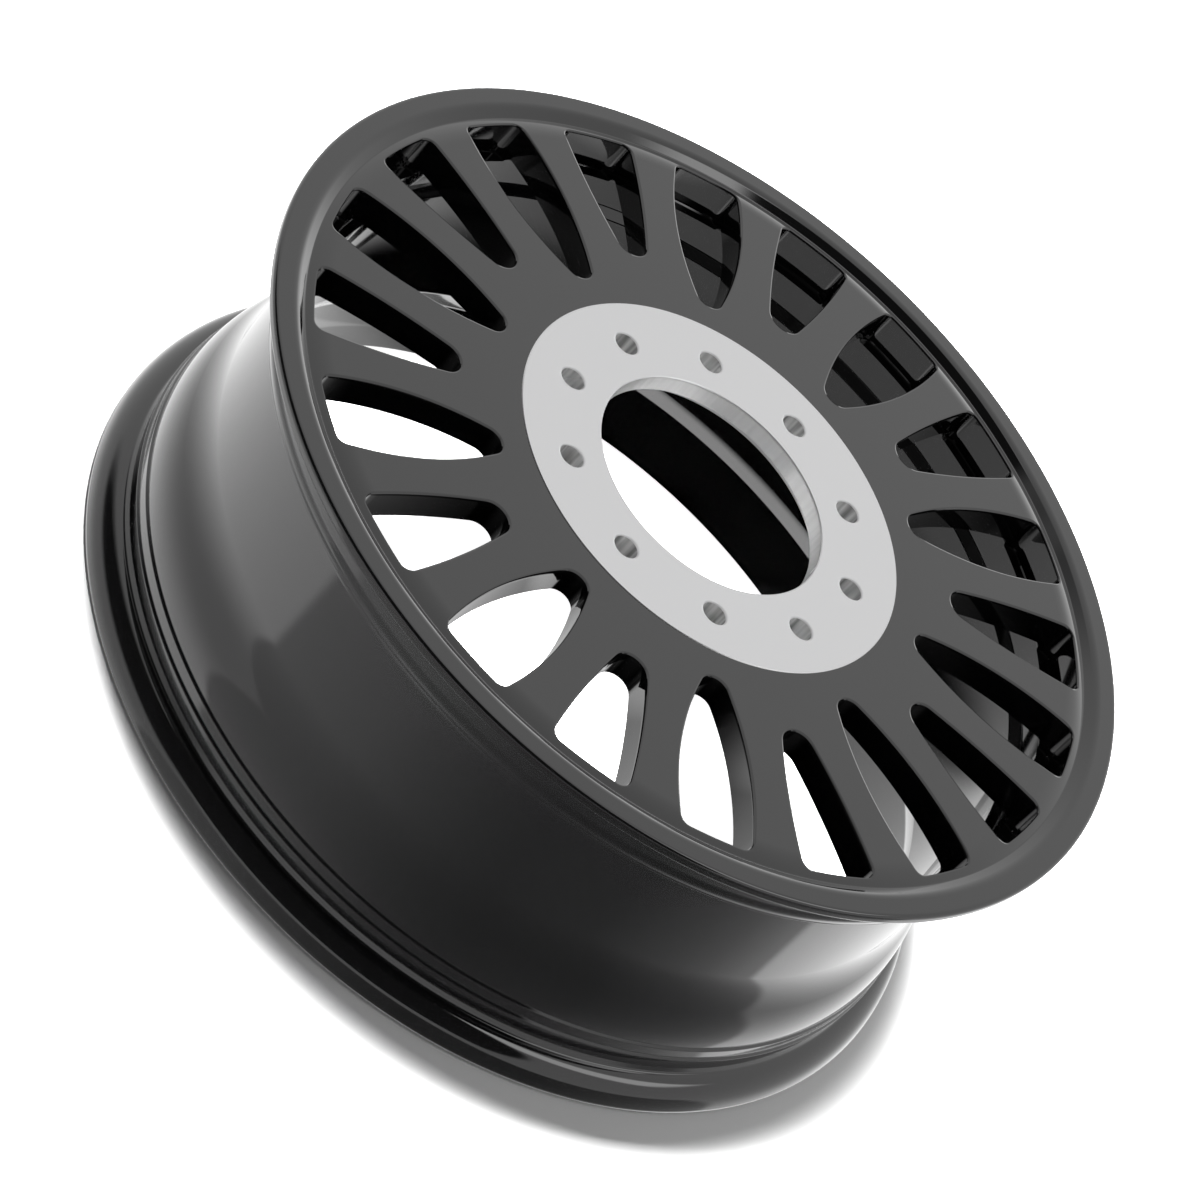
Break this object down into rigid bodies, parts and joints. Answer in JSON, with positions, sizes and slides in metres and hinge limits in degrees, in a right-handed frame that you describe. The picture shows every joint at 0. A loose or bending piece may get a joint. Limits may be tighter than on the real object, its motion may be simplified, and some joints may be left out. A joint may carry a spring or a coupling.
{
  "type": "truck wheel",
  "caption": "One-piece truck wheel: flat black face with long and short radial windows in turn, bare machined hub pad with straight lug holes, and a drop-centre barrel behind.",
  "frame": {"origin": "on the spin axis, at the inboard end the wheel lies on", "axes": "+Z along the spin axis, out of the face; +X along a long window's centre line and a lug hole"},
  "size_m": [0.649, 0.6488, 0.2376],
  "materials": {
    "wheel": "gloss black paint on forged aluminium, hub pad left bare"
  },
  "bodies": {
    "root": {"wheel": "wheel"}
  },
  "joints": []
}
